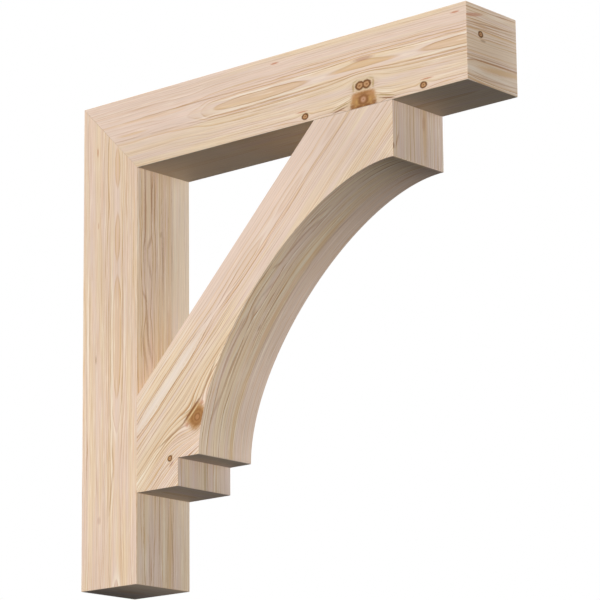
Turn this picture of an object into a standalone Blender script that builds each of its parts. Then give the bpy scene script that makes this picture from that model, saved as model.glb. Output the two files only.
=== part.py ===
"""A timber corbel bracket: a wall leg and an arm mitred together at the top corner, with an arched brace between them.

+X runs out from the wall, +Z up, and Y across the bracket.
The origin is the centre of the wall face, which is the back of the leg.
"""

import math

import bmesh
import bpy

INCH = 0.0254

# Driving sizes. The timber is dressed to inch sizes, and every value is held in metres.
WIDTH = 5.5 * INCH  # of all three timbers, across the bracket
LEG_HEIGHT = 36 * INCH  # the wall face, from bottom to top
ARM_REACH = 36 * INCH  # from the wall to the end of the arm
LEG_DEPTH = 5.5 * INCH  # of the leg, out from the wall
ARM_DEPTH = 5.5 * INCH  # of the arm, from its top to its underside

BRACE_ARM_SEAT = 7 * INCH  # length of the brace that bears on the arm
BRACE_LEG_SEAT = 7 * INCH  # length of the brace that bears on the leg
NOSE_SETBACK = 6.5 * INCH  # from the arm's end back to the brace's nose
NOSE_HEIGHT = 4 * INCH  # the nose's plumb face, below the arm
FOOT_SETBACK = 6.5 * INCH  # from the leg's lower end up to the brace's foot
FOOT_DEPTH = 4 * INCH  # the foot's level face, out from the leg
STEP_RISE = 2 * INCH  # the step between the foot and the arch
STEP_TREAD = 2 * INCH

ARCH_FULLNESS = 0.426  # tangent length at each end of the arch, as a share of its run and rise
ARCH_SEGMENTS = 48

JOINT_GAP = 0.0003  # between timbers that meet
EASED_EDGE = 0.0012  # the planed-off arris
EASED_SEGMENTS = 2

# Places that follow from the sizes
TOP = LEG_HEIGHT / 2
BOTTOM = -LEG_HEIGHT / 2
ARM_UNDERSIDE = TOP - ARM_DEPTH
NOSE_FACE = ARM_REACH - NOSE_SETBACK
FOOT_UNDERSIDE = BOTTOM + FOOT_SETBACK

SHARP_ANGLE = math.radians(30)
FLAT_ANGLE = math.radians(0.2)
SAME_PLACE = 1e-6

PLANED_ROUGHNESS = 0.55  # bare planed softwood


def clear_scene():
    for thing in list(bpy.data.objects):
        bpy.data.objects.remove(thing)


def timber_material(name, colour, roughness):
    material = bpy.data.materials.new(name)
    material.use_nodes = True
    shader = material.node_tree.nodes["Principled BSDF"]
    shader.inputs["Base Color"].default_value = (*colour, 1.0)
    shader.inputs["Roughness"].default_value = roughness
    shader.inputs["Metallic"].default_value = 0.0
    material.diffuse_color = (*colour, 1.0)
    return material


def corner(x, z):
    """A square corner of a side outline."""
    return {"at": (x, z), "before": None, "after": None}


def side_outline(name, corners):
    """A closed, filled 2D curve through the corners, as thick as the timber is wide."""
    outline = bpy.data.curves.new(name, "CURVE")
    outline.dimensions = "2D"
    outline.fill_mode = "BOTH"
    outline.extrude = WIDTH / 2
    outline.resolution_u = ARCH_SEGMENTS
    spline = outline.splines.new("BEZIER")
    spline.bezier_points.add(len(corners) - 1)
    for point, place in zip(spline.bezier_points, corners):
        point.co = (*place["at"], 0)
        point.handle_left_type = "FREE" if place["before"] else "VECTOR"
        point.handle_right_type = "FREE" if place["after"] else "VECTOR"
        point.handle_left = (*(place["before"] or place["at"]), 0)
        point.handle_right = (*(place["after"] or place["at"]), 0)
    spline.use_cyclic_u = True
    drawing = bpy.data.objects.new(name + "_outline", outline)
    drawing.rotation_euler = (math.pi / 2, 0, 0)
    bpy.context.scene.collection.objects.link(drawing)
    return drawing


def solid_from(drawing, name):
    """The outline's solid as a welded mesh, with each flat side one face."""
    bpy.context.view_layer.update()
    graph = bpy.context.evaluated_depsgraph_get()
    mesh = bpy.data.meshes.new_from_object(drawing.evaluated_get(graph))
    mesh.name = name
    solid = bmesh.new()
    solid.from_mesh(mesh)
    bmesh.ops.remove_doubles(solid, verts=solid.verts, dist=SAME_PLACE)
    bmesh.ops.dissolve_limit(solid, angle_limit=FLAT_ANGLE, verts=solid.verts, edges=solid.edges)
    bmesh.ops.recalc_face_normals(solid, faces=solid.faces)
    solid.to_mesh(mesh)
    solid.free()
    timber = bpy.data.objects.new(name, mesh)
    timber.matrix_world = drawing.matrix_world
    bpy.data.objects.remove(drawing)
    return timber


def ease_edges(timber, on_joint):
    """Planes the arris off every outside edge but those that lie on a joint."""
    mesh = timber.data
    solid = bmesh.new()
    solid.from_mesh(mesh)
    weight = solid.edges.layers.float.new("bevel_weight_edge")
    for edge in solid.edges:
        outside = edge.is_convex and edge.calc_face_angle() > SHARP_ANGLE
        joined = all(on_joint(end.co.x, end.co.y) for end in edge.verts)
        edge[weight] = float(outside and not joined)
    solid.to_mesh(mesh)
    solid.free()
    bevel = timber.modifiers.new("eased edges", "BEVEL")
    bevel.limit_method = "WEIGHT"
    bevel.width = EASED_EDGE
    bevel.segments = EASED_SEGMENTS
    mesh.shade_smooth()
    mesh.set_sharp_from_angle(angle=SHARP_ANGLE)


def make_timber(name, corners, on_joint, material, home, parent):
    timber = solid_from(side_outline(name, corners), name)
    home.objects.link(timber)
    ease_edges(timber, on_joint)
    timber.data.materials.clear()
    timber.data.materials.append(material)
    timber.parent = parent
    return timber


def mitre_normal():
    """The unit normal of the mitre, which runs from the top corner at the wall to the inner corner."""
    length = math.hypot(LEG_DEPTH, ARM_DEPTH)
    return ARM_DEPTH / length, LEG_DEPTH / length


def on_mitre(x, z):
    normal_x, normal_z = mitre_normal()
    away = x * normal_x + (z - TOP) * normal_z
    return abs(away) < JOINT_GAP


def leg_corners():
    drop = JOINT_GAP / 2 / mitre_normal()[1]
    return [
        corner(0, BOTTOM),
        corner(LEG_DEPTH, BOTTOM),
        corner(LEG_DEPTH, ARM_UNDERSIDE - drop),
        corner(0, TOP - drop),
    ]


def arm_corners():
    shift = JOINT_GAP / 2 / mitre_normal()[0]
    return [
        corner(shift, TOP),
        corner(LEG_DEPTH + shift, ARM_UNDERSIDE),
        corner(ARM_REACH, ARM_UNDERSIDE),
        corner(ARM_REACH, TOP),
    ]


def arch_ends():
    """The ends of the arch: plumb at the foot's step and level at the nose, each with its tangent point."""
    low_x = LEG_DEPTH + FOOT_DEPTH + STEP_TREAD
    low_z = FOOT_UNDERSIDE + STEP_RISE
    high_x = NOSE_FACE
    high_z = ARM_UNDERSIDE - NOSE_HEIGHT
    low = corner(low_x, low_z)
    low["after"] = (low_x, low_z + ARCH_FULLNESS * (high_z - low_z))
    high = corner(high_x, high_z)
    high["before"] = (high_x - ARCH_FULLNESS * (high_x - low_x), high_z)
    return low, high


def brace_corners():
    leg_seat = LEG_DEPTH + JOINT_GAP
    arm_seat = ARM_UNDERSIDE - JOINT_GAP
    riser = LEG_DEPTH + FOOT_DEPTH
    arch_low, arch_high = arch_ends()
    return [
        corner(leg_seat, FOOT_UNDERSIDE),
        corner(riser, FOOT_UNDERSIDE),
        corner(riser, FOOT_UNDERSIDE + STEP_RISE),
        arch_low,
        arch_high,
        corner(NOSE_FACE, arm_seat),
        corner(NOSE_FACE - BRACE_ARM_SEAT, arm_seat),
        corner(leg_seat, FOOT_UNDERSIDE + BRACE_LEG_SEAT),
    ]


def on_seats(x, z):
    return x < LEG_DEPTH + 2 * JOINT_GAP or z > ARM_UNDERSIDE - 2 * JOINT_GAP


def main():
    clear_scene()
    home = bpy.data.collections.new("corbel_bracket")
    bpy.context.scene.collection.children.link(home)
    bracket = bpy.data.objects.new("bracket", None)
    home.objects.link(bracket)

    leg_fir = timber_material("leg_fir", (0.70, 0.54, 0.40), PLANED_ROUGHNESS)
    arm_fir = timber_material("arm_fir", (0.73, 0.56, 0.41), PLANED_ROUGHNESS)
    brace_fir = timber_material("brace_fir", (0.71, 0.55, 0.42), PLANED_ROUGHNESS)

    make_timber("leg", leg_corners(), on_mitre, leg_fir, home, bracket)
    make_timber("arm", arm_corners(), on_mitre, arm_fir, home, bracket)
    make_timber("brace", brace_corners(), on_seats, brace_fir, home, bracket)


main()
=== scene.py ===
"""A timber corbel bracket in planed, unfinished fir, on a white ground.

A wall leg and an arm are mitred at the top corner, with an arched brace between them.
+X runs out from the wall, +Z up. Shapes are in metres. The wood's figure is in millimetres on each face.
"""

import math
from dataclasses import dataclass, field, replace

import bmesh
import bpy
from mathutils import Matrix, Vector


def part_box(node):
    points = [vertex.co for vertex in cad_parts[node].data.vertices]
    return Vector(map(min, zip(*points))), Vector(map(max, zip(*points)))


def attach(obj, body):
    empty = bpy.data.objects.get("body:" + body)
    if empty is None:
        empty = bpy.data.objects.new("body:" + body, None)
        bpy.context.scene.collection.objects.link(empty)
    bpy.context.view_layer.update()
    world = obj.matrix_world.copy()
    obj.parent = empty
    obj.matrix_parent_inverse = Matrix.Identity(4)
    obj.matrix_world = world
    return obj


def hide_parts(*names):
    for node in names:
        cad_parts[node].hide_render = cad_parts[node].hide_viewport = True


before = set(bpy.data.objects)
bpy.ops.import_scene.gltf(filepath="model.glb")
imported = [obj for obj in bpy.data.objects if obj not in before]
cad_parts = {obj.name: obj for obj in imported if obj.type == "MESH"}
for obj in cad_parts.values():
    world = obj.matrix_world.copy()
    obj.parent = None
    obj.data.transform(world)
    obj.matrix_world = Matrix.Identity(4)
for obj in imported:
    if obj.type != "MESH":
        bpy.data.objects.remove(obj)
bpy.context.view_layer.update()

INCH = 0.0254
MM = 0.001

leg_low, leg_high = (Vector(corner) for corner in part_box("leg"))
arm_low, arm_high = (Vector(corner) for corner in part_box("arm"))
brace_low, brace_high = (Vector(corner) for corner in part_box("brace"))

HALF = leg_high.y
TOP = arm_high.z
BOTTOM = leg_low.z
LEG_FRONT = leg_high.x
SOFFIT = arm_low.z
REACH = arm_high.x
NOSE_FACE = brace_high.x
FOOT = brace_low.z

MITRE_GAP = 0.00015  # from the mitre's line to each timber
ON_JOINT = 0.0001  # how near a seat a point counts as on it
NOSE_HEIGHT = 4 * INCH
FOOT_DEPTH = 4 * INCH
SEAT = 7 * INCH  # of the brace, along the leg and along the arm
STEP = 2 * INCH  # between foot and arch, up and out
ARCH_FULLNESS = 0.426  # tangent length at each end of the arch, as a share of its run and rise
ARCH_STEPS = 64
EASED_EDGE = 0.0011
EASED_SEGMENTS = 3
SHARP_ANGLE = math.radians(30)
SQUARE_ON = 0.7  # a face looks along an axis if its normal has at least this much of it
SLANTED_BACK = -0.3  # and back to the wall if its normal's x is below this


# The camera and the light

CAMERA_PLACE = (3.9007, -3.9352, -1.2532)
CAMERA_RIGHT = (0.752415, 0.658607, -0.010410)
CAMERA_UP = (0.163867, -0.171852, 0.971398)
LENS = 182.05
SENSOR_WIDTH = 36
FAR_LIMIT = 200
LAMP_SPREAD = 20
ROOM_LEVEL = 0.12
ROOM_BELOW = 0.0
ROOM_TINT = (0.98, 1.05, 1.25, 1)
WHITE = (1, 1, 1, 1)
FLOOR_SIZE = 60
FLOOR_DROP = 5
FLOOR_GREY = (0.9, 0.9, 0.9, 1)
FLOOR_ROUGHNESS = 0.9


def set_camera():
    camera = bpy.data.cameras.new("camera")
    camera.lens = LENS
    camera.sensor_width = SENSOR_WIDTH
    camera.clip_end = FAR_LIMIT
    holder = bpy.data.objects.new("camera", camera)
    bpy.context.scene.collection.objects.link(holder)
    right = Vector(CAMERA_RIGHT).normalized()
    up = Vector(CAMERA_UP)
    up = (up - up.dot(right) * right).normalized()
    turn = Matrix((right, up, right.cross(up))).transposed().to_4x4()
    holder.matrix_world = Matrix.Translation(CAMERA_PLACE) @ turn
    bpy.context.scene.camera = holder


def add_sun(name, towards, strength, shadow=True):
    """A distant soft lamp that stands in the direction given."""
    lamp = bpy.data.lights.new(name, "SUN")
    lamp.energy = strength
    lamp.angle = math.radians(LAMP_SPREAD)
    lamp.use_shadow = shadow
    holder = bpy.data.objects.new(name, lamp)
    holder.rotation_euler = Vector(towards).to_track_quat("Z", "Y").to_euler()
    bpy.context.scene.collection.objects.link(holder)


def set_world():
    """White to the camera. The wood sees a dim room, darkest straight below."""
    world = bpy.data.worlds.new("studio")
    bpy.context.scene.world = world
    world.use_nodes = True
    tree = world.node_tree
    tree.nodes.clear()
    output = tree.nodes.new("ShaderNodeOutputWorld")
    choice = tree.nodes.new("ShaderNodeMixShader")
    seen = tree.nodes.new("ShaderNodeLightPath")
    direction = tree.nodes.new("ShaderNodeTexCoord")
    height = tree.nodes.new("ShaderNodeSeparateXYZ")
    shade = tree.nodes.new("ShaderNodeMapRange")
    room = tree.nodes.new("ShaderNodeBackground")
    white = tree.nodes.new("ShaderNodeBackground")
    room.inputs["Color"].default_value = ROOM_TINT
    white.inputs["Color"].default_value = WHITE
    shade.inputs["From Min"].default_value = -1.0
    shade.inputs["From Max"].default_value = 0.0
    shade.inputs["To Min"].default_value = ROOM_BELOW
    shade.inputs["To Max"].default_value = ROOM_LEVEL
    tree.links.new(direction.outputs["Generated"], height.inputs[0])
    tree.links.new(height.outputs["Z"], shade.inputs["Value"])
    tree.links.new(shade.outputs["Result"], room.inputs["Strength"])
    tree.links.new(seen.outputs["Is Camera Ray"], choice.inputs[0])
    tree.links.new(room.outputs[0], choice.inputs[1])
    tree.links.new(white.outputs[0], choice.inputs[2])
    tree.links.new(choice.outputs[0], output.inputs["Surface"])


def light_the_studio():
    """A lamp for each side but the underside. The front one casts no shadow, like a wide panel close by."""
    bpy.context.scene.view_settings.view_transform = "Standard"
    set_world()
    add_sun("near lamp", (0, -1, 0.2), 2.55)
    add_sun("front lamp", (1, 0, -0.12), 1.64, shadow=False)
    add_sun("top lamp", (0, 0, 1), 2.3)
    add_sun("far lamp", (0, 1, 0.2), 2.3)
    add_sun("wall lamp", (-1, 0, 0.2), 1.6)


# Wood: a face's figure is worked out from how the board was cut from its log


def srgb(red, green, blue):
    """A colour as the eye reads it, 0 to 255, turned to the linear value that shaders take."""
    def linear(channel):
        share = channel / 255
        return share / 12.92 if share <= 0.04045 else ((share + 0.055) / 1.055) ** 2.4
    return (linear(red), linear(green), linear(blue), 1.0)


CREAM = srgb(231, 207, 176)
PINK = srgb(229, 204, 186)
WHITE_WOOD = srgb(245, 230, 208)
MILKY = srgb(236, 220, 204)
TAN = srgb(219, 182, 136)
RING_LINE = srgb(182, 132, 88)
KNOT_LIGHT = srgb(192, 146, 100)
KNOT_DARK = srgb(150, 100, 56)
KNOT_RIM = srgb(120, 78, 42)
KNOT_HALO = srgb(225, 196, 146)

STAIN = srgb(204, 150, 100)
GOLDEN = srgb(212, 166, 98)
AMBER = srgb(188, 138, 82)
DARK_STAIN = srgb(160, 110, 58)
UMBER = srgb(138, 88, 46)
BROWN = srgb(176, 130, 94)
OLIVE = srgb(178, 146, 94)
REDDISH = srgb(168, 104, 80)
RUSSET = srgb(192, 114, 72)
PITH = srgb(202, 156, 126)

FIRST_RING = 4.0  # every board's figure closes into long ovals inside this ring
RING_CROWDING = 2.6  # how far rings move together and apart
KNOT_REACH = 2.2  # a knot bends the grain this much further along it than across it
KNOT_EASE = 0.2  # softens the bend next to the knot
KNOT_RAGGEDNESS = 0.5
HEART_PHASE = 1.6  # a knot starts dark at its heart
ROUGHNESS = 0.62
SHINE = 0.2
FIBRE_RELIEF = 0.35
FIBRE_HEIGHT = 0.0002


@dataclass
class Knot:
    """A knot that the grain runs round, in millimetres. One that doesn't show still bends the grain."""
    along: float
    across: float
    radius: float
    years: float = 1.2  # rings from its heart to its edge
    bend: float = 0.9  # how far the grain gives way, as a share of the radius
    halo: float = 0.3  # how plainly its pale halo shows
    flatness: float = 0.84  # its width across the grain, as a share of its length
    shows: bool = True


@dataclass
class Fleck:
    """A spot or dash of another colour, or an area where the wood differs."""
    along: float
    across: float
    half_length: float
    half_width: float
    colour: tuple = REDDISH
    strength: float = 0.5
    squareness: float = 2.0  # 2 is an ellipse, and more is nearer to a box
    softness: float = 0.5
    slope: float = 0.0  # across, for each millimetre along


@dataclass
class Sag:
    """A place where the grain dips across the board, by this many millimetres."""
    along: float
    across: float
    half_length: float
    half_width: float
    dip: float


@dataclass
class Board:
    """How one face lies in the log. Along and across are measured from the corner, in millimetres."""
    corner: tuple
    along: tuple
    across: tuple
    heart: float
    depth: list  # pairs of (along, rings between the face and the heart)
    ring: float = 4.4  # millimetres from ring to ring
    fold: float = None  # the figure mirrors itself about this place along the board
    seed: float = 0.0
    contrast: float = 1.0
    streaks: float = 1.0
    wander: float = 2.0  # of the grain, over a long stretch
    ripple: float = 2.2  # and over a short one
    core: float = 0.5  # how much the ovals stand out
    pink: float = 0.4
    # The face's own tint on the near sides. On the ends, fronts and undersides it is painted shade, and on
    # the leg's lower end and the arch it is painted light, for how light falls on each face.
    tone: tuple = (1.0, 1.0, 1.0)  # a tint over the whole face
    knots: list = field(default_factory=list)
    flecks: list = field(default_factory=list)
    sags: list = field(default_factory=list)
    lines: list = field(default_factory=list)  # drawn along the grain
    calm: list = field(default_factory=list)  # where the figure is faint
    rosy: list = field(default_factory=list)  # where the wood is pinkish
    # Some of these areas are painted shade and painted light: along the arch, low on the leg's front by the
    # brace, and on the arm's underside between leg and brace. Elsewhere they make the face darker or paler
    # in places.
    darker_areas_and_painted_shading: list = field(default_factory=list)  # where it is darker, or paler for a strength below 0


class Value:
    """A number that varies over a face. Signs between values, or with plain numbers, add math nodes."""

    def __init__(self, tree, socket):
        self.tree = tree
        self.socket = socket

    def math(self, operation, *others):
        node = self.tree.nodes.new("ShaderNodeMath")
        node.operation = operation
        for slot, value in zip(node.inputs, (self, *others)):
            self.plug(value, slot)
        return Value(self.tree, node.outputs[0])

    def plug(self, value, slot):
        if isinstance(value, Value):
            self.tree.links.new(value.socket, slot)
        else:
            slot.default_value = value

    def __add__(self, other):
        return self.math("ADD", other)

    def __sub__(self, other):
        return self.math("SUBTRACT", other)

    def __mul__(self, other):
        return self.math("MULTIPLY", other)

    def __truediv__(self, other):
        return self.math("DIVIDE", other)

    def __pow__(self, other):
        return self.math("POWER", other)

    def size(self):
        return self.math("ABSOLUTE")

    def root(self):
        return self.math("SQRT")

    def whole(self):
        return self.math("FLOOR")

    def flipped(self):
        """One less the value."""
        return self * -1.0 + 1.0

    def rise(self, low, high):
        """A smooth step from 0 at low to 1 at high."""
        node = self.tree.nodes.new("ShaderNodeMapRange")
        node.interpolation_type = "SMOOTHSTEP"
        node.inputs["From Min"].default_value = low
        node.inputs["From Max"].default_value = high
        self.plug(self, node.inputs["Value"])
        return Value(self.tree, node.outputs["Result"])


def noise(along, across, seed, length, width, detail=2.0):
    """Cloudy noise from 0 to 1, with features about as long and as wide as given.

    Each use adds its own number to the board's seed, so that no two run alike.
    """
    tree = along.tree
    place = tree.nodes.new("ShaderNodeCombineXYZ")
    along.plug(along / length, place.inputs["X"])
    along.plug(across / width, place.inputs["Y"])
    place.inputs["Z"].default_value = seed
    cloud = tree.nodes.new("ShaderNodeTexNoise")
    cloud.noise_dimensions = "3D"
    cloud.inputs["Scale"].default_value = 1.0
    cloud.inputs["Detail"].default_value = detail
    tree.links.new(place.outputs[0], cloud.inputs["Vector"])
    return Value(tree, cloud.outputs["Fac"])


def chance(value, seed):
    """A different even draw from 0 to 1 for each whole number."""
    node = value.tree.nodes.new("ShaderNodeTexWhiteNoise")
    node.noise_dimensions = "1D"
    value.plug(value + (seed + 0.5), node.inputs["W"])
    return Value(value.tree, node.outputs["Value"])


def profile(value, points, height=10.0):
    """A smooth curve through the points, which are (millimetres, rings)."""
    node = value.tree.nodes.new("ShaderNodeFloatCurve")
    curve = node.mapping.curves[0]
    for number, (at, rings) in enumerate(points):
        if number < len(curve.points):
            curve.points[number].location = (at * MM, rings / height)
        else:
            curve.points.new(at * MM, rings / height)
    node.mapping.update()
    value.plug(value * MM, node.inputs["Value"])
    return Value(value.tree, node.outputs["Value"]) * height


def mix(factor, one, other):
    """One colour turning into the other as the factor rises. Each is a socket or a plain colour."""
    tree = factor.tree
    node = tree.nodes.new("ShaderNodeMix")
    node.data_type = "RGBA"
    factor.plug(factor, node.inputs[0])
    for slot, colour in ((node.inputs[6], one), (node.inputs[7], other)):
        if isinstance(colour, bpy.types.NodeSocket):
            tree.links.new(colour, slot)
        else:
            slot.default_value = colour
    return node.outputs[2]


def scale_colour(tree, colour, factor):
    node = tree.nodes.new("ShaderNodeVectorMath")
    node.operation = "SCALE"
    tree.links.new(colour, node.inputs[0])
    tree.links.new(factor.socket, node.inputs["Scale"])
    return node.outputs[0]


# Multiplies a colour by a face's tint, which carries painted shade and painted light.
def tint(tree, colour, tone):
    node = tree.nodes.new("ShaderNodeVectorMath")
    node.operation = "MULTIPLY"
    tree.links.new(colour, node.inputs[0])
    node.inputs[1].default_value = tone
    return node.outputs[0]


def face_coordinates(tree, board):
    """Millimetres along and across the face, from its corner."""
    place = tree.nodes.new("ShaderNodeTexCoord")
    from_corner = tree.nodes.new("ShaderNodeVectorMath")
    from_corner.operation = "SUBTRACT"
    from_corner.inputs[1].default_value = board.corner
    tree.links.new(place.outputs["Object"], from_corner.inputs[0])
    values = []
    for direction in (board.along, board.across):
        measure = tree.nodes.new("ShaderNodeVectorMath")
        measure.operation = "DOT_PRODUCT"
        measure.inputs[1].default_value = Vector(direction).normalized() / MM
        tree.links.new(from_corner.outputs[0], measure.inputs[0])
        values.append(Value(tree, measure.outputs["Value"]))
    along, across = values
    if board.fold is not None:
        along = (along - board.fold).size()
    return along, across


def spread_from(along, across, spot, half_length, half_width, squareness=2.0, slope=0.0):
    """0 at the spot's middle and 1 at its edge."""
    beyond = along - spot.along
    beside = across - spot.across
    if slope:
        beside = beside - beyond * slope
    lengthwise = (beyond / half_length).size() ** squareness
    sideways = (beside / half_width).size() ** squareness
    return (lengthwise + sideways) ** (1 / squareness)


def spread_of(fleck, along, across):
    return spread_from(
        along, across, fleck, fleck.half_length, fleck.half_width, fleck.squareness, fleck.slope
    )


def outside(along, across, areas):
    """1 away from the areas, and less within them, by their strengths. Each fades out about its edge."""
    share = along * 0.0 + 1.0
    for area in areas:
        near = spread_of(area, along, across)
        share = share * (near.rise(0.4, 1.5).flipped() * -area.strength + 1.0)
    return share


def follow_grain(along, across, board):
    """Across, as it would be if the grain ran straight: it parts round each knot and dips at each sag."""
    bent = across
    for knot in board.knots:
        reach = (knot.bend * knot.radius) ** 2
        beside = across - knot.across
        lengthwise = (along - knot.along) / KNOT_REACH
        apart = lengthwise * lengthwise + beside * beside + KNOT_EASE * reach
        bent = bent - beside * reach / apart
    for sag in board.sags:
        near = spread_from(along, across, sag, sag.half_length, sag.half_width)
        bent = bent - (near * near * -1.0).math("EXPONENT") * sag.dip
    return bent


def knot_colour(spread, knot):
    """Rings of light and dark about a dark heart, and a dark rim."""
    wave = (spread * (2 * math.pi * knot.years) + HEART_PHASE).math("SINE")
    wood = mix(wave.rise(-0.9, 0.9), KNOT_LIGHT, KNOT_DARK)
    return mix(spread.rise(0.55, 0.80), wood, KNOT_RIM)


# The layers of a face's colour


def bare_wood(along, across, board):
    """Cream wood, pinkish in places."""
    patches = noise(along, across, board.seed + 5, length=260, width=16)
    share = (outside(along, across, board.rosy) * (1 - board.pink)).flipped()
    return mix((patches + share * 0.7).rise(0.72, 1.02), CREAM, PINK)


def figure_strength(along, across, board):
    """How strongly the figure shows: a little unevenly, and faintly in the board's calm areas."""
    uneven = noise(along, across, board.seed + 11, length=400, width=90, detail=1.0) * 0.3 + 0.85
    return uneven * outside(along, across, board.calm)


def uneven_grain(along, across, board):
    """Across, as it would be if the grain ran straight, also where it wanders by itself."""
    bent = follow_grain(along, across, board)
    wander = noise(along, bent, board.seed + 1, length=170, width=45, detail=1.0) - 0.5
    ripple = noise(along, bent, board.seed + 2, length=34, width=8) - 0.5
    return bent + wander * (2 * board.wander) + ripple * board.ripple


def rings_from_heart(along, bent, board):
    """The rings between the log's heart and each place, and how squarely the face cuts them."""
    off = (bent - board.heart) / board.ring
    reach = (off * off + profile(along, board.depth) ** 2.0).root()
    crowding = noise(reach, along / 400, board.seed + 3, length=1.9, width=1.0) - 0.5
    rings = reach + crowding * reach.rise(FIRST_RING + 0.3, FIRST_RING + 2.5) * RING_CROWDING
    return rings, (off.size() / reach).rise(0.0, 0.5)


def draw_rings(wood, along, bent, figure, board):
    """Each ring is pale at first, then tan, and ends in a dark line. Gives the tan's share too."""
    seed = board.seed
    rings, steep = rings_from_heart(along, bent, board)
    ring = rings.whole()
    phase = rings - ring
    core = rings.rise(FIRST_RING - 0.12, FIRST_RING).flipped()
    grown = rings.rise(FIRST_RING - 0.5, FIRST_RING - 0.4)
    steep = steep * grown
    vigour = noise(along, bent, seed + 4, length=170, width=18).rise(0.32, 0.68) * figure

    early = phase.rise(0.05, 0.40).flipped() * chance(ring, seed + 29)
    early_share = vigour * (rings.rise(FIRST_RING, FIRST_RING + 1) * 0.6 + 0.4)
    tan = phase.rise(0.25, 0.80) * phase.rise(0.96, 1.0).flipped() * steep
    tan_share = chance(ring, seed) ** 2.0 * 0.5 + vigour * 0.3
    line = phase.rise(0.76, 0.90) * phase.rise(0.95, 1.0).flipped() * (steep * 0.85 + 0.15)
    line_share = (vigour * 0.8 + 0.2) * (chance(ring, seed + 17) * 0.75 + 0.25)
    line_share = (line_share.flipped() * (core * -board.core + 1.0)).flipped() * grown

    wood = mix(early * early_share * board.contrast, wood, WHITE_WOOD)
    wood = mix(tan * tan_share * board.contrast, wood, TAN)
    wood = mix(core * board.core, wood, TAN)
    return mix(line * line_share * board.contrast, wood, RING_LINE), tan


def draw_dashes(wood, along, bent, figure, board):
    """Short tan and pale dashes along the grain."""
    dash = noise(along, bent, board.seed + 12, length=70, width=3.2)
    share = (figure * 0.7 + 0.3) * (0.5 * board.streaks)
    wood = mix(dash.rise(0.56, 0.74) * share, wood, TAN)
    return mix(dash.rise(0.26, 0.44).flipped() * share, wood, WHITE_WOOD)


def draw_lines(wood, along, bent, board):
    """The board's own lines, which follow the grain and fade here and there."""
    fading = noise(along, bent, board.seed + 13, length=60, width=3).rise(0.30, 0.60) * 0.7 + 0.3
    for line in board.lines:
        mask = spread_of(line, along, bent).rise(0.5, 1.2).flipped()
        wood = mix(mask * fading * line.strength, wood, line.colour)
    return wood


def draw_flecks(wood, along, across, board):
    """The board's own spots and dashes, with ragged edges."""
    cloud = noise(along, across, board.seed + 9, length=5, width=3) - 0.5
    for fleck in board.flecks:
        ragged = spread_of(fleck, along, across) + cloud * (1.2 * fleck.softness)
        mask = ragged.rise(1 - fleck.softness, 1 + fleck.softness).flipped()
        wood = mix(mask * fleck.strength, wood, fleck.colour)
    return wood


def shade_wood(wood, fibre, along, across, bent, board):
    """Lighter and darker by fibre, streak and band, and in the board's darker areas, which in places are
    painted shade and painted light.
    """
    streak = noise(along, bent, board.seed + 7, length=120, width=1.9) - 0.5
    band = noise(along, bent, board.seed + 8, length=300, width=8) - 0.5
    shade = (fibre - 0.5) * 0.14 + streak * (0.26 * board.streaks) + band * 0.14 + 1.0
    return scale_colour(along.tree, wood, shade * outside(along, across, board.darker_areas_and_painted_shading))


def draw_knots(wood, along, across, board):
    """The knots, each in a pale halo."""
    for knot in (knot for knot in board.knots if knot.shows):
        spread = spread_from(along, across, knot, knot.radius, knot.radius * knot.flatness)
        cloud = noise(along, across, board.seed + 10, knot.radius * 0.6, knot.radius * 0.5) - 0.5
        ragged = spread + cloud * KNOT_RAGGEDNESS
        wood = mix(ragged.rise(0.9, 2.2).flipped() * knot.halo, wood, KNOT_HALO)
        wood = mix(ragged.rise(0.92, 1.26).flipped(), wood, knot_colour(ragged, knot))
    return wood


def fir(name, board):
    """Planed fir, cut as the board says."""
    material = bpy.data.materials.new(name)
    material.use_nodes = True
    tree = material.node_tree
    along, across = face_coordinates(tree, board)
    bent = uneven_grain(along, across, board)
    figure = figure_strength(along, across, board)
    fibre = noise(along, bent, board.seed + 6, length=26, width=0.55, detail=3.0)

    wood = bare_wood(along, across, board)
    wood, tan = draw_rings(wood, along, bent, figure, board)
    wood = draw_dashes(wood, along, bent, figure, board)
    wood = draw_lines(wood, along, bent, board)
    wood = draw_flecks(wood, along, across, board)
    wood = shade_wood(wood, fibre, along, across, bent, board)
    wood = draw_knots(wood, along, across, board)

    shader = tree.nodes["Principled BSDF"]
    roughness = tan * 0.08 - fibre * 0.10 + ROUGHNESS
    # The face's tint goes over everything, knots too: painted shade on the ends, fronts and undersides,
    # painted light on the leg's lower end and the arch.
    tree.links.new(tint(tree, wood, board.tone), shader.inputs["Base Color"])
    tree.links.new(roughness.socket, shader.inputs["Roughness"])
    shader.inputs["Specular IOR Level"].default_value = SHINE
    bump = tree.nodes.new("ShaderNodeBump")
    bump.inputs["Strength"].default_value = FIBRE_RELIEF
    bump.inputs["Distance"].default_value = FIBRE_HEIGHT
    tree.links.new(fibre.socket, bump.inputs["Height"])
    tree.links.new(bump.outputs["Normal"], shader.inputs["Normal"])
    return material


# The faces, each a board of its own

DOWN = (0, 0, -1)
OUT = (1, 0, 0)
OVER = (0, 1, 0)
RISING = (1, 0, 1)
FALLING = (1, 0, -1)

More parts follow.
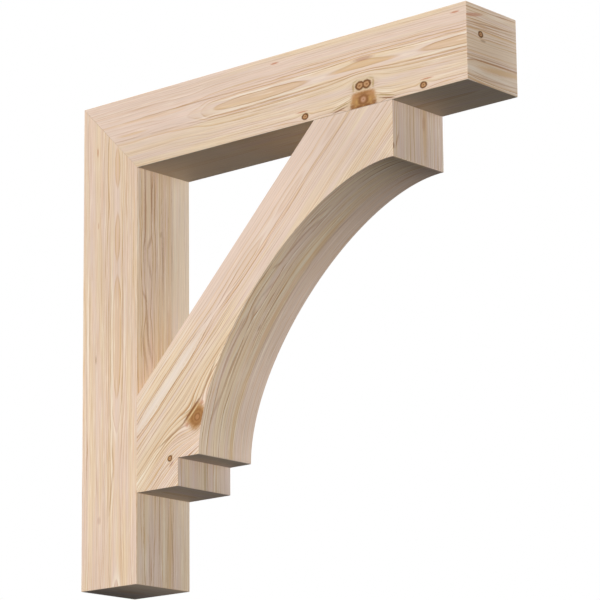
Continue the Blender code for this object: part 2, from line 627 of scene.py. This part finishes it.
arm_near = Board(
    corner=(0, -HALF, TOP), along=OUT, across=DOWN, fold=685, heart=69, seed=11,
    depth=[
        (0, 3.65), (85, 4.00), (101, 4.07), (117, 4.00), (190, 3.52), (290, 3.49), (357, 4.00), (390, 5.25),
        (430, 6.00), (470, 6.30), (560, 6.00), (700, 6.40),
    ],
    knots=[
        Knot(7.8, 99.5, 9.4, halo=0.0, flatness=0.82),
        Knot(134, 129, 7.4, bend=0.7, flatness=0.76),
        Knot(0, 132, 20.0, shows=False),
    ],
    flecks=[
        Fleck(0, 100, 24, 12, OLIVE, 0.3, 2.5, 0.7),
        Fleck(22.5, 101, 2.0, 7, OLIVE, 0.8, 2.0, 0.8),
        Fleck(18, 90, 5, 1.5, OLIVE, 0.5, 2.0, 0.9, slope=0.4),
        Fleck(0, 101, 20, 11, KNOT_HALO, 0.55, 3.0, 0.4),
        Fleck(0, 127, 27, 16, STAIN, 0.95, 5.0, 0.2),
        Fleck(0, 133, 26, 11, GOLDEN, 0.7, 3.0, 0.6),
        Fleck(0, 114, 18, 2.4, DARK_STAIN, 0.7, 2.0, 0.8),
        Fleck(7, 128, 14, 11, DARK_STAIN, 0.85, 2.5, 0.95),
        Fleck(15, 128, 3.0, 4, GOLDEN, 0.5, 2.0, 0.9),
        Fleck(25, 138, 5, 7, UMBER, 0.8, 2.0, 0.8, slope=0.4),
        Fleck(10, 138, 9, 2.8, UMBER, 0.95, 2.0, 0.8),
        Fleck(0, 126, 11, 10, UMBER, 0.95, 2.0, 0.4),
        Fleck(0, 126, 6.8, 6.0, STAIN, 0.55, 2.0, 0.4),
        Fleck(0, 126, 4.8, 4.2, PITH, 0.75, 2.0, 0.4),
        Fleck(0, 126, 1.6, 1.4, DARK_STAIN, 0.7, 2.0, 0.5),
        Fleck(50, 128.5, 20, 1.3, OLIVE, 0.9, slope=0.22),
        Fleck(48, 122.5, 18, 1.2, WHITE_WOOD, 0.7, slope=0.2),
        Fleck(54, 134.5, 15, 1.3, UMBER, 0.8, slope=0.2),
        Fleck(0, 52, 22, 3.5, REDDISH, 0.5),
        Fleck(205, 15, 9, 1.5, RUSSET, 0.75),
        Fleck(141, 119, 12, 1.3, RUSSET, 0.7),
    ],
    sags=[Sag(0, 52, 40, 14, -3.0), Sag(0, 90, 40, 12, -5.0)],
    lines=[
        Fleck(0, 42, 420, 1.1, RING_LINE, 0.6),
        Fleck(330, 47, 300, 1.2, RING_LINE, 0.7),
        Fleck(60, 52, 330, 1.1, RING_LINE, 0.55),
        Fleck(230, 58, 200, 2.0, WHITE_WOOD, 0.8),
        Fleck(230, 80, 200, 2.0, WHITE_WOOD, 0.7),
        Fleck(100, 83, 420, 1.2, RING_LINE, 0.7),
        Fleck(100, 88, 420, 1.1, RING_LINE, 0.6),
        Fleck(0, 69, 82, 6.0, TAN, 0.6),
        Fleck(560, 73, 45, 2.6, TAN, 0.8),
        Fleck(560, 66, 150, 1.2, RING_LINE, 0.4),
        Fleck(540, 82, 150, 1.2, RING_LINE, 0.4),
    ],
    calm=[Fleck(560, 100, 260, 60, strength=0.75), Fleck(300, 12, 500, 26, strength=0.6)],
    rosy=[Fleck(560, 42, 330, 44, strength=1.0), Fleck(200, 14, 400, 30, strength=0.3)],
    darker_areas_and_painted_shading=[
        Fleck(300, 8, 700, 30, strength=0.06),
        Fleck(520, 70, 300, 100, strength=0.03),
        Fleck(240, 130, 200, 30, strength=-0.04),
    ],
    core=0.55, pink=0.5,
)
arm_far = Board(
    corner=(0, HALF, TOP), along=OUT, across=DOWN, heart=58, seed=31,
    depth=[
        (0, 5.90), (120, 4.60), (220, 4.00), (300, 3.72), (390, 4.00), (440, 4.35), (520, 4.00), (600, 3.45),
        (690, 3.50), (800, 4.00), (914, 4.60),
    ],
    knots=[Knot(246, 103, 7.0), Knot(701, 31, 9.5, years=1.6)],
    flecks=[Fleck(470, 21, 9, 2.0, REDDISH, 0.5)],
)
arm_end = Board(
    corner=(REACH, -HALF, TOP), along=OVER, across=DOWN, heart=111, ring=5.0, seed=5,
    # The darker, slightly cooler tint on this end is painted shade.
    contrast=1.3, streaks=1.15, tone=(0.845, 0.841, 0.866), wander=3.0,
    depth=[(0, 4.75), (34, 4.30), (90, 4.06), (170, 4.12)],
    knots=[Knot(39, 51, 6.4, bend=0.6)],
    flecks=[
        Fleck(20, 20, 24, 3.2, RUSSET, 0.55, slope=-0.22),
        Fleck(80, 12, 26, 4.0, WHITE_WOOD, 0.4, slope=-0.02),
        Fleck(70, 30, 76, 1.4, RING_LINE, 0.65, slope=-0.07),
        Fleck(60, 35.5, 90, 1.2, RING_LINE, 0.55, slope=-0.06),
        Fleck(75, 40, 80, 1.1, RING_LINE, 0.5, slope=-0.04),
        Fleck(45, 61.5, 7, 2.0, UMBER, 0.45),
        Fleck(75, 97.5, 80, 1.6, RING_LINE, 0.85, slope=-0.03),
        Fleck(60, 93, 70, 1.1, RING_LINE, 0.5, slope=-0.03),
        Fleck(16, 117, 24, 4.0, WHITE_WOOD, 0.6),
        Fleck(98, 107, 58, 5.5, TAN, 0.95, 2.0, 0.6, slope=-0.07),
        Fleck(80, 122, 60, 2.6, WHITE_WOOD, 0.6, slope=0.02),
        Fleck(70, 128, 80, 1.2, RING_LINE, 0.5, slope=-0.03),
    ],
    calm=[Fleck(90, 72, 110, 22, strength=0.85), Fleck(100, 18, 70, 12, strength=0.6)],
)
arm_under = Board(
    corner=(0, -HALF, SOFFIT), along=OUT, across=OVER, heart=64, seed=47, contrast=0.6, streaks=0.6,
    # The darker, cooler tint is painted shade on the underside.
    tone=(0.785, 0.815, 0.85),
    depth=[
        (0, 4.50), (120, 4.00), (250, 3.52), (400, 4.00), (520, 5.00), (700, 4.00), (800, 3.68), (914, 4.12),
    ],
    # The pale patch and the darker area over it, between leg and brace, are painted shade: they make this
    # stretch greyer and darker.
    flecks=[Fleck(240, 70, 130, 120, WHITE_WOOD, 0.5, 2.0, 0.3)],
    darker_areas_and_painted_shading=[Fleck(240, 70, 130, 120, strength=0.05)],
)
arm_top = Board(
    corner=(0, -HALF, TOP), along=OUT, across=OVER, heart=76, seed=53,
    depth=[
        (0, 4.40), (150, 5.20), (330, 4.00), (430, 3.45), (520, 3.60), (640, 4.00), (760, 5.25), (914, 4.60),
    ],
    knots=[Knot(352, 30, 7.0), Knot(655, 112, 6.0)],
)
leg_near = Board(
    corner=(0, -HALF, TOP), along=DOWN, across=OUT, heart=89, seed=67, contrast=0.9, core=0.45, pink=0.55,
    tone=(1.045, 1.028, 1.01),
    depth=[
        (0, 4.50), (84, 4.00), (130, 3.62), (176, 4.00), (196, 4.15), (212, 4.00), (265, 3.62), (318, 4.00),
        (323, 4.03), (329, 4.00), (400, 3.20), (480, 3.12), (573, 4.00), (640, 5.00), (750, 5.75),
        (914, 4.75),
    ],
    flecks=[
        Fleck(91, 37, 8, 1.5, RUSSET, 0.7),
        Fleck(234, 39.5, 6, 1.6, RUSSET, 0.35),
        Fleck(488, 34.8, 8, 1.2, DARK_STAIN, 0.6),
        Fleck(789, 44.8, 7, 4.0, REDDISH, 0.25),
        Fleck(740, 75, 40, 1.6, RING_LINE, 0.5, slope=-0.11),
        Fleck(748, 79, 36, 2.0, WHITE_WOOD, 0.5, slope=-0.11),
        Fleck(430, 2, 95, 6.0, TAN, 0.6, 2.0, 0.3),
        Fleck(430, 2, 60, 3.0, WHITE_WOOD, 0.5, 2.0, 0.4),
        Fleck(60, 12, 90, 5.0, REDDISH, 0.12, slope=0.04),
    ],
    lines=[
        Fleck(430, 14, 130, 2.6, WHITE_WOOD, 0.8),
        Fleck(430, 19, 150, 1.2, RING_LINE, 0.35),
        Fleck(560, 68, 330, 1.2, RING_LINE, 0.55),
        Fleck(500, 72, 260, 1.1, RING_LINE, 0.5),
        Fleck(520, 76, 330, 2.2, WHITE_WOOD, 0.85),
        Fleck(450, 81, 120, 1.6, WHITE_WOOD, 0.7),
        Fleck(420, 103, 240, 1.4, RING_LINE, 0.7),
        Fleck(430, 108, 110, 3.0, WHITE_WOOD, 0.6),
        Fleck(800, 101, 140, 1.2, RING_LINE, 0.4),
    ],
    darker_areas_and_painted_shading=[Fleck(150, 60, 260, 160, strength=0.05), Fleck(700, 60, 200, 160, strength=-0.05)],
)
leg_far = Board(
    corner=(0, HALF, TOP), along=DOWN, across=OUT, heart=70, seed=71, contrast=0.9,
    depth=[
        (0, 4.90), (150, 4.25), (260, 4.00), (330, 3.60), (430, 3.50), (560, 4.00), (680, 4.70), (800, 4.30),
        (914, 4.00),
    ],
    knots=[Knot(512, 104, 7.5)],
)
# Slanting strokes of the leg's front. The arch is cut from the same board, a little further along.
FLAME = [
    Fleck(276, 34, 14, 3.2, BROWN, 0.6, 2.0, 0.8, slope=-0.35),
    Fleck(300, 29, 18, 2.2, BROWN, 0.4, 2.0, 0.8),
    Fleck(330, 34, 18, 2.7, BROWN, 0.5, 2.0, 0.8, slope=0.22),
    Fleck(382, 20.5, 9, 3.2, BROWN, 0.6, 2.0, 0.8, slope=0.6),
    Fleck(430, 27, 46, 2.4, BROWN, 0.8, 2.0, 0.8, slope=0.07),
    Fleck(480, 34, 22, 3.0, BROWN, 0.5, 2.0, 0.8, slope=0.22),
    Fleck(490, 21.5, 32, 2.7, BROWN, 0.6, 2.0, 0.8, slope=0.20),
    Fleck(210, 21, 90, 2.2, BROWN, 0.8, 2.0, 0.8),
    Fleck(180, 38, 45, 2.4, BROWN, 0.9, 2.0, 0.8, slope=0.04),
    Fleck(190, 46, 50, 2.0, BROWN, 0.8, 2.0, 0.8),
    Fleck(105, 29, 26, 3.2, BROWN, 0.6, 2.0, 0.8, slope=0.26),
    Fleck(257, 63.5, 6, 2.5, DARK_STAIN, 0.5),
    Fleck(300, 68, 60, 1.9, BROWN, 0.8, 2.0, 0.8),
    Fleck(400, 74, 90, 1.8, WHITE_WOOD, 0.6),
    Fleck(240, 87, 110, 5.5, TAN, 0.7, 2.0, 0.7),
    Fleck(440, 85, 60, 5.0, TAN, 0.7, 2.0, 0.7, slope=-0.03),
    Fleck(470, 92, 60, 2.2, BROWN, 0.6, 2.0, 0.8, slope=0.03),
    Fleck(300, 94, 90, 2.0, BROWN, 0.5, 2.0, 0.8),
    Fleck(230, 101, 90, 2.6, WHITE_WOOD, 0.5),
]


def moved(flecks, distance, share):
    """The same flecks, further along and with a share of their strength."""
    return [
        replace(fleck, along=fleck.along + distance, strength=fleck.strength * share) for fleck in flecks
    ]


leg_front = Board(
    corner=(LEG_FRONT, -HALF, TOP), along=DOWN, across=OVER, heart=30, seed=83, contrast=1.2, streaks=1.25,
    # The darker tint is painted shade on the front face.
    ripple=4.5, pink=0.5, tone=(0.89, 0.90, 0.90),
    depth=[
        (0, 4.65), (120, 4.20), (240, 4.70), (300, 4.15), (345, 4.35), (400, 4.70), (470, 4.15), (530, 4.45),
        (640, 4.70), (760, 4.20), (914, 4.60),
    ],
    flecks=moved(FLAME, 0, 0.75) + [
        Fleck(300, 122, 500, 34, WHITE_WOOD, 0.35, 2.0, 0.3),
        Fleck(850, 88, 95, 6.5, TAN, 0.65, 2.0, 0.6),
        Fleck(835, 81, 70, 1.2, BROWN, 0.3, 2.0, 0.6, slope=-0.05),
        Fleck(840, 94, 70, 1.2, BROWN, 0.5, 2.0, 0.6, slope=0.06),
        Fleck(830, 72, 70, 2.4, WHITE_WOOD, 0.5, 2.0, 0.8),
        Fleck(800, 60, 60, 1.6, BROWN, 0.4, 2.0, 0.8),
        Fleck(860, 34, 60, 1.6, BROWN, 0.4, 2.0, 0.8),
    ],
    calm=[Fleck(450, 122, 600, 32, strength=0.7)],
    # The second area, darker low down by the brace, is painted shade in the corner between leg and brace.
    # The first makes the far side a little paler.
    darker_areas_and_painted_shading=[Fleck(300, 122, 300, 40, strength=-0.02), Fleck(640, 20, 60, 90, strength=0.12)],
)
leg_back = Board(
    corner=(0, -HALF, TOP), along=DOWN, across=OVER, heart=80, seed=89,
    depth=[
        (0, 5.60), (200, 4.70), (330, 4.00), (420, 3.65), (540, 3.50), (660, 4.00), (780, 5.20), (914, 5.90),
    ],
    knots=[Knot(610, 30, 8.0)],
)
leg_foot = Board(
    corner=(0, -HALF, BOTTOM), along=OVER, across=OUT, heart=60, seed=97, contrast=0.6,
    # The brighter, cooler tint is painted light on the leg's lower end.
    tone=(1.20, 1.21, 1.25),
    depth=[(0, 4.62), (30, 4.00), (70, 3.52), (110, 4.00), (140, 4.50)],
)
brace_near = Board(
    corner=(LEG_FRONT, -HALF, FOOT + SEAT), along=RISING, across=FALLING, fold=64, heart=47, seed=101,
    contrast=1.25, core=0.12, tone=(1.075, 1.078, 1.075),
    depth=[
        (0, 3.37), (70, 3.52), (136, 4.00), (165, 4.15), (192, 4.00), (270, 3.65), (349, 4.00), (410, 3.78),
        (473, 4.00), (497, 4.15), (521, 4.00), (560, 3.84), (606, 4.00), (700, 4.62),
    ],
    knots=[Knot(94.5, 147.4, 5.8, bend=0.7)],
    flecks=[
        Fleck(0, 47.5, 120, 9, MILKY, 0.8, 2.0, 0.6),
        Fleck(0, 39.5, 100, 1.6, WHITE_WOOD, 0.6, 2.0, 0.8),
        Fleck(0, 55.5, 100, 1.6, WHITE_WOOD, 0.5, 2.0, 0.8),
        Fleck(0, 158, 20, 9, OLIVE, 0.5, 2.5, 0.7),
        Fleck(0, 144, 23, 18, AMBER, 0.95, 3.5, 0.35),
        Fleck(0, 148, 18, 15, DARK_STAIN, 0.8, 2.5, 0.6),
        Fleck(0, 148, 14, 12.5, UMBER, 0.8, 2.5, 0.35),
        Fleck(0, 148, 11, 9.8, AMBER, 0.8, 2.0, 0.35),
        Fleck(0, 148, 8.2, 7.2, UMBER, 0.9, 2.0, 0.35),
        Fleck(0, 148, 5.0, 4.2, STAIN, 0.55, 2.0, 0.4),
        Fleck(26, 138, 4, 4, RUSSET, 0.4, 2.0, 0.6),
        Fleck(0, 129, 31, 2.2, UMBER, 0.9, 2.5, 0.5),
        Fleck(0, 133.5, 22, 1.5, KNOT_HALO, 0.8, 2.0, 0.5),
        Fleck(10, 121, 12, 1.3, OLIVE, 0.5, slope=-0.45),
        Fleck(62, 121, 38, 2.0, DARK_STAIN, 0.6, slope=-0.26),
        Fleck(99, 157.5, 7, 1.8, REDDISH, 0.6),
    ],
    sags=[Sag(0, 160, 55, 42, 32.0)],
    lines=[
        Fleck(0, 35.5, 75, 1.4, RING_LINE, 0.9),
        Fleck(105, 39, 60, 1.4, RING_LINE, 0.9, slope=0.09),
        Fleck(0, 59.5, 75, 1.7, RING_LINE, 1.0),
        Fleck(105, 56, 60, 1.6, RING_LINE, 1.0, slope=-0.09),
        Fleck(205, 44, 50, 1.2, RING_LINE, 0.7, slope=-0.05),
        Fleck(205, 54, 50, 1.3, RING_LINE, 0.7, slope=0.05),
        Fleck(420, 56, 340, 1.2, RING_LINE, 0.5),
        Fleck(420, 62, 340, 1.2, RING_LINE, 0.55),
        Fleck(80, 72, 180, 1.1, RING_LINE, 0.5),
        Fleck(60, 84, 200, 1.1, RING_LINE, 0.6),
        Fleck(100, 95, 220, 1.1, RING_LINE, 0.5),
        Fleck(90, 106, 160, 1.1, RING_LINE, 0.6),
        Fleck(80, 119, 60, 1.2, RING_LINE, 0.7),
        Fleck(80, 124, 60, 1.2, RING_LINE, 0.6),
        Fleck(85, 130, 60, 1.2, RING_LINE, 0.5),
    ],
    calm=[
        Fleck(330, 14, 260, 30, strength=0.9),
        Fleck(620, 60, 180, 110, strength=0.7),
        Fleck(400, 98, 220, 30, strength=0.6),
    ],
    rosy=[
        Fleck(330, 20, 260, 60, strength=1.0),
        Fleck(650, 60, 200, 90, strength=0.45),
        Fleck(80, 165, 90, 30, strength=0.8),
    ],
    darker_areas_and_painted_shading=[Fleck(670, 60, 190, 150, strength=0.09)],
)
brace_far = Board(
    corner=(LEG_FRONT, HALF, FOOT + SEAT), along=RISING, across=FALLING, heart=60, seed=109,
    depth=[
        (0, 4.90), (90, 4.00), (170, 3.70), (300, 3.50), (400, 4.00), (500, 4.90), (600, 4.45), (700, 4.10),
    ],
    knots=[Knot(120, 118, 8.0)],
)
brace_arch = Board(
    corner=(LEG_FRONT + FOOT_DEPTH + STEP, -HALF, FOOT + STEP), along=RISING, across=OVER, heart=30,
    # The brighter tint is painted light on the arch.
    seed=113, contrast=1.2, streaks=1.3, ripple=4.5, pink=0.5, tone=(1.14, 1.15, 1.13),
    depth=[
        (0, 4.30), (70, 4.70), (150, 4.20), (230, 4.70), (270, 4.15), (310, 4.35), (370, 4.70), (440, 4.15),
        (560, 4.70), (760, 4.20),
    ],
    flecks=moved(FLAME, -34, 0.65),
    calm=[Fleck(300, 122, 600, 32, strength=0.7)],
    rosy=[Fleck(300, 125, 600, 30, strength=0.8)],
    # Painted light and shade along the arch: darker at its foot, paler in its middle, and darker towards its
    # nose, where it turns to face down.
    darker_areas_and_painted_shading=[
        Fleck(10, 70, 90, 160, strength=0.11),
        Fleck(360, 70, 120, 160, strength=-0.04),
        Fleck(646, 70, 70, 160, strength=0.05),
    ],
)
brace_front = Board(
    corner=(NOSE_FACE, -HALF, SOFFIT), along=DOWN, across=OVER, heart=86, seed=127, contrast=1.1,
    # The darker, cooler tint is painted shade on the nose's front face.
    streaks=1.15, pink=0.6, tone=(0.845, 0.857, 0.88),
    depth=[(0, 4.60), (60, 4.25), (200, 4.80), (420, 4.30), (610, 4.60)],
    flecks=[
        Fleck(40, 88, 60, 6, TAN, 0.8, 2.0, 0.6),
        Fleck(24, 86, 14, 4, REDDISH, 0.3, 2.0, 0.6),
        Fleck(585, 73, 50, 4.0, OLIVE, 0.45, 2.0, 0.8),
        Fleck(585, 122, 50, 14, PINK, 0.5, 2.0, 0.6),
        Fleck(82, 1, 5, 3.0, UMBER, 0.7),
        Fleck(70, 12, 14, 1.6, RING_LINE, 0.6, slope=-0.3),
    ],
)
brace_under = Board(
    corner=(LEG_FRONT, -HALF, FOOT), along=OVER, across=OUT, heart=40, seed=131, contrast=0.6, streaks=0.6,
    # The darker, cooler tint is painted shade on the brace's underside.
    tone=(0.80, 0.856, 0.956),
    depth=[(0, 4.38), (70, 3.68), (140, 4.38)],
)
brace_back = Board(
    corner=(LEG_FRONT, -HALF, FOOT + SEAT), along=RISING, across=OVER, heart=72, seed=137,
    depth=[
        (0, 5.20), (120, 4.30), (220, 4.00), (300, 3.60), (420, 4.00), (520, 4.70), (620, 4.20), (700, 4.60),
    ],
)


# Timbers


def deselect():
    bpy.ops.object.select_all(action="DESELECT")


def add_timber(name, low, high):
    """A squared timber between two corners."""
    deselect()
    low = Vector(low)
    high = Vector(high)
    bpy.ops.mesh.primitive_cube_add(size=1, location=(low + high) / 2)
    timber = bpy.context.object
    timber.name = name
    timber.scale = high - low
    bpy.ops.object.transform_apply(location=True, rotation=False, scale=True)
    return timber


def saw(timber, point, normal):
    """Cuts off what lies on the normal's side of a plane, and closes the cut."""
    bpy.ops.object.mode_set(mode="EDIT")
    bpy.ops.mesh.select_all(action="SELECT")
    bpy.ops.mesh.bisect(plane_co=point, plane_no=normal, use_fill=True, clear_outer=True)
    bpy.ops.object.mode_set(mode="OBJECT")


def ease_edges(timber, on_joint):
    """Planes the arris off the outside edges. Those on a joint stay sharp, and meet their neighbour."""
    bpy.ops.object.mode_set(mode="EDIT")
    bpy.ops.mesh.select_mode(type="EDGE")
    bpy.ops.mesh.select_all(action="DESELECT")
    shape = bmesh.from_edit_mesh(timber.data)
    for edge in shape.edges:
        joined = all(on_joint(end.co) for end in edge.verts)
        edge.select_set(edge.is_convex and edge.calc_face_angle() > SHARP_ANGLE and not joined)
    bmesh.update_edit_mesh(timber.data)
    bpy.ops.mesh.bevel(offset=EASED_EDGE, segments=EASED_SEGMENTS, affect="EDGES")
    bpy.ops.object.mode_set(mode="OBJECT")


def finish_timber(timber, node, boards, choose):
    """Gives each face its own board, and puts the timber in the place of its node."""
    for name, board in boards.items():
        timber.data.materials.append(fir(name, board))
    order = list(boards)
    for face in timber.data.polygons:
        face.material_index = order.index(choose(face.center, face.normal))
    deselect()
    timber.select_set(True)
    bpy.context.view_layer.objects.active = timber
    bpy.ops.object.shade_smooth_by_angle(angle=SHARP_ANGLE)
    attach(timber, "root")
    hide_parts(node)


def strongest(normal):
    """The axis that a face looks along most, and its sign."""
    size, axis = max((abs(normal.x), "x"), (abs(normal.y), "y"), (abs(normal.z), "z"))
    return axis, getattr(normal, axis) > 0


def on_mitre(place):
    return abs(place.x + place.z - TOP) < 4 * MITRE_GAP


def make_leg():
    leg = add_timber("wall_leg", leg_low, (LEG_FRONT, HALF, TOP))
    saw(leg, (0, 0, TOP - MITRE_GAP * math.sqrt(2)), (1, 0, 1))
    ease_edges(leg, on_mitre)
    boards = {
        "leg_side": leg_near,
        "leg_far_side": leg_far,
        "leg_front": leg_front,
        "leg_back": leg_back,
        "leg_lower_end": leg_foot,
    }
    sides = {
        ("x", True): "leg_front",
        ("x", False): "leg_back",
        ("y", True): "leg_far_side",
        ("y", False): "leg_side",
        ("z", True): "leg_front",
        ("z", False): "leg_lower_end",
    }
    finish_timber(leg, "leg", boards, lambda centre, normal: sides[strongest(normal)])


def make_arm():
    arm = add_timber("top_arm", (0, -HALF, SOFFIT), arm_high)
    saw(arm, (MITRE_GAP * math.sqrt(2), 0, TOP), (-1, 0, -1))
    ease_edges(arm, on_mitre)
    boards = {
        "arm_side": arm_near,
        "arm_far_side": arm_far,
        "arm_end": arm_end,
        "arm_top": arm_top,
        "arm_underside": arm_under,
    }
    sides = {
        ("x", True): "arm_end",
        ("x", False): "arm_underside",
        ("y", True): "arm_far_side",
        ("y", False): "arm_side",
        ("z", True): "arm_top",
        ("z", False): "arm_underside",
    }
    finish_timber(arm, "arm", boards, lambda centre, normal: sides[strongest(normal)])


def trace_arch(low, high):
    """The arch as a line of edges: plumb at its foot and level at its nose."""
    deselect()
    bpy.ops.curve.primitive_bezier_curve_add()
    curve = bpy.context.object
    curve.data.resolution_u = ARCH_STEPS
    curve.data.dimensions = "3D"
    reach = ARCH_FULLNESS * (high - low)
    first, last = curve.data.splines[0].bezier_points
    for point in (first, last):
        point.handle_left_type = "FREE"
        point.handle_right_type = "FREE"
    first.co = low
    first.handle_left = low - Vector((0, 0, reach.z))
    first.handle_right = low + Vector((0, 0, reach.z))
    last.co = high
    last.handle_left = high - Vector((reach.x, 0, 0))
    last.handle_right = high + Vector((reach.x, 0, 0))
    bpy.ops.object.convert(target="MESH")
    return bpy.context.object


def extrude_to(brace, start, places):
    """Draws the outline on from the start, corner by corner."""
    bpy.ops.mesh.select_all(action="DESELECT")
    shape = bmesh.from_edit_mesh(brace.data)
    nearest = min(shape.verts, key=lambda vertex: (vertex.co - start).length)
    nearest.select_set(True)
    bmesh.update_edit_mesh(brace.data)
    here = start
    for place in places:
        bpy.ops.mesh.extrude_region_move(TRANSFORM_OT_translate={"value": place - here})
        here = place


def make_brace():
    seat = brace_low.x
    top = brace_high.z
    riser = LEG_FRONT + FOOT_DEPTH
    arch_foot = Vector((riser + STEP, -HALF, FOOT + STEP))
    arch_nose = Vector((NOSE_FACE, -HALF, SOFFIT - NOSE_HEIGHT))
    brace = trace_arch(arch_foot, arch_nose)
    brace.name = "arched_brace"
    bpy.ops.object.mode_set(mode="EDIT")
    bpy.ops.mesh.select_mode(type="VERT")
    outline = [
        (riser, FOOT + STEP),
        (riser, FOOT),
        (seat, FOOT),
        (seat, FOOT + SEAT),
        (NOSE_FACE - SEAT, top),
        (NOSE_FACE, top),
    ]
    extrude_to(brace, arch_foot, [Vector((x, -HALF, z)) for x, z in outline])
    bpy.ops.mesh.select_all(action="SELECT")
    bpy.ops.mesh.edge_face_add()
    bpy.ops.mesh.select_all(action="SELECT")
    bpy.ops.mesh.extrude_region_move(TRANSFORM_OT_translate={"value": (0, 2 * HALF, 0)})
    bpy.ops.mesh.select_all(action="SELECT")
    bpy.ops.mesh.normals_make_consistent(inside=False)
    bpy.ops.object.mode_set(mode="OBJECT")

    def on_seat(place):
        return place.x < seat + ON_JOINT or place.z > top - ON_JOINT

    ease_edges(brace, on_seat)
    boards = {
        "brace_side": brace_near,
        "brace_far_side": brace_far,
        "brace_arch": brace_arch,
        "brace_front": brace_front,
        "brace_underside": brace_under,
        "brace_back": brace_back,
    }

    def choose(centre, normal):
        if abs(normal.y) > SQUARE_ON:
            return "brace_side" if normal.y < 0 else "brace_far_side"
        if normal.x < SLANTED_BACK:
            return "brace_back"
        below_nose = centre.z < SOFFIT - NOSE_HEIGHT + EASED_EDGE
        above_tread = centre.z > FOOT + STEP + EASED_EDGE
        if centre.x > riser + STEP - EASED_EDGE and below_nose and above_tread:
            return "brace_arch"
        return "brace_front" if normal.x > SQUARE_ON else "brace_underside"

    finish_timber(brace, "brace", boards, choose)


def lay_floor():
    """A pale floor, well below the bracket."""
    deselect()
    bpy.ops.mesh.primitive_plane_add(size=FLOOR_SIZE, location=(0, 0, -FLOOR_DROP))
    floor = bpy.context.object
    floor.name = "floor"
    material = bpy.data.materials.new("pale_floor")
    material.use_nodes = True
    shader = material.node_tree.nodes["Principled BSDF"]
    shader.inputs["Base Color"].default_value = FLOOR_GREY
    shader.inputs["Roughness"].default_value = FLOOR_ROUGHNESS
    floor.data.materials.append(material)
    floor.visible_diffuse = False
    floor.visible_glossy = False


set_camera()
light_the_studio()
make_leg()
make_arm()
make_brace()
lay_floor()
